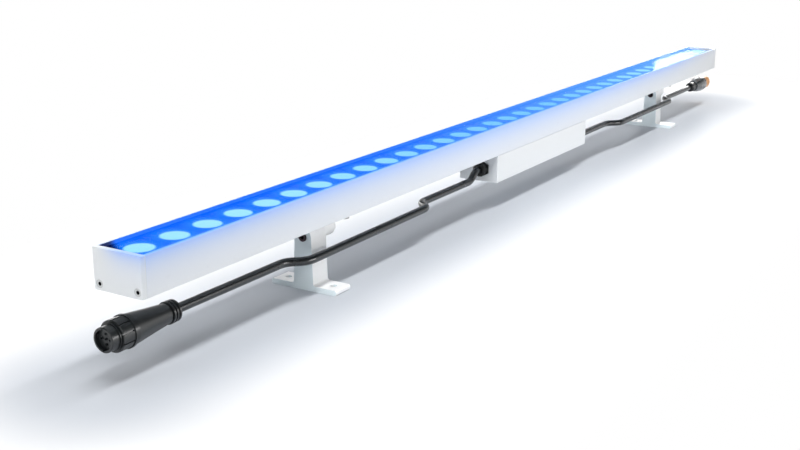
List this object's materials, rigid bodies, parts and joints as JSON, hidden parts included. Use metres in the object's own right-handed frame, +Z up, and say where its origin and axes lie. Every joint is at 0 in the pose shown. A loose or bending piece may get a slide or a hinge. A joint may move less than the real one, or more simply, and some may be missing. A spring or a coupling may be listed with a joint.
{
  "type": "linear wall washer light",
  "caption": "Slim linear wall washer light: pale channel with collimated LEDs under a flat cover, tilting foot brackets, a driver case below and a lead with a round connector at each end.",
  "frame": {"origin": "on the ground, under the middle of the channel and of its two brackets", "axes": "+X along the channel to the end with the grey and orange connector, -Y the front, +Z up"},
  "size_m": [1.235, 0.062, 0.084],
  "materials": {
    "housing_paint": "satin pale powder coat over aluminium",
    "case_paint": "satin pale powder coat over aluminium",
    "bracket_paint": "satin pale powder coat over aluminium",
    "steel": "plain stainless steel",
    "silicone": "matte pale silicone",
    "cover_glass": "clear flat cover",
    "board_white": "white solder mask",
    "board_green": "green solder mask",
    "led_phosphor": "lit cold blue",
    "lens_clear": "lit clear moulding",
    "lens_field": "lit blue moulding",
    "transformer_body": "dark ferrite and tape",
    "capacitor_can": "sleeved can",
    "choke_core": "wound core",
    "chip_black": "moulded package",
    "terminal_plastic": "pale moulded terminal",
    "wire_jacket": "wire insulation",
    "gland_black": "moulded black",
    "lead_jacket": "matte black jacket",
    "connector_black": "moulded black",
    "connector_grey": "moulded grey",
    "sleeve_orange": "moulded orange",
    "contact_brass": "plated contact",
    "washer_nylon": "plain nylon"
  },
  "bodies": {
    "stand": {"bracket_base_near": "bracket_paint", "bracket_base_far": "bracket_paint", "tilt_screws": "steel", "tilt_nuts": "steel", "plain_washers": "steel", "friction_washers": "washer_nylon"},
    "luminaire": {"housing_profile": "housing_paint", "end_plate_near": "housing_paint", "end_plate_far": "housing_paint", "end_gasket_near": "silicone", "end_gasket_far": "silicone", "end_plate_screws": "steel", "cover_lens": "cover_glass", "cover_seals": "silicone", "led_boards": "board_white", "led_chips": "led_phosphor", "collimator_lenses": "lens_clear", "lens_plates": "lens_field", "board_screws": "steel", "board_links": "terminal_plastic", "feed_wires": "wire_jacket", "feed_grommet": "silicone", "driver_case": "case_paint", "case_gasket": "silicone", "case_screws": "steel", "driver_board": "board_green", "driver_transformer": "transformer_body", "driver_capacitors": "capacitor_can", "driver_choke": "choke_core", "driver_terminals": "terminal_plastic", "driver_chips": "chip_black", "driver_board_screws": "steel", "gland_body_near": "gland_black", "gland_body_far": "gland_black", "gland_dome_near": "gland_black", "gland_dome_far": "gland_black", "gland_seals": "silicone", "gland_lock_nuts": "gland_black", "lead_tails": "lead_jacket", "near_lead": "lead_jacket", "far_lead": "lead_jacket", "socket_body": "connector_black", "socket_insert": "connector_black", "socket_contacts": "contact_brass", "plug_body": "connector_black", "plug_sleeve": "sleeve_orange", "plug_pins": "contact_brass", "tilt_arm_near": "bracket_paint", "tilt_arm_far": "bracket_paint", "arm_screws": "steel", "arm_nuts": "steel"},
    "supply_nut": {"socket_nut": "connector_black"},
    "link_coupling": {"plug_coupling": "connector_grey"}
  },
  "joints": [
    {"name": "tilt", "type": "hinge", "parent": "stand", "child": "luminaire", "pos_m": [0, 0, 0.0434], "axis": [1, 0, 0], "range_deg": [-90, 15]},
    {"name": "supply_nut_spin", "type": "hinge", "parent": "luminaire", "child": "supply_nut", "pos_m": [-0.6104, -0.004, 0.0313], "axis": [1, 0, 0], "continuous": true},
    {"name": "link_coupling_spin", "type": "hinge", "parent": "luminaire", "child": "link_coupling", "pos_m": [0.5751, -0.004, 0.0324], "axis": [1, 0, 0], "continuous": true}
  ]
}
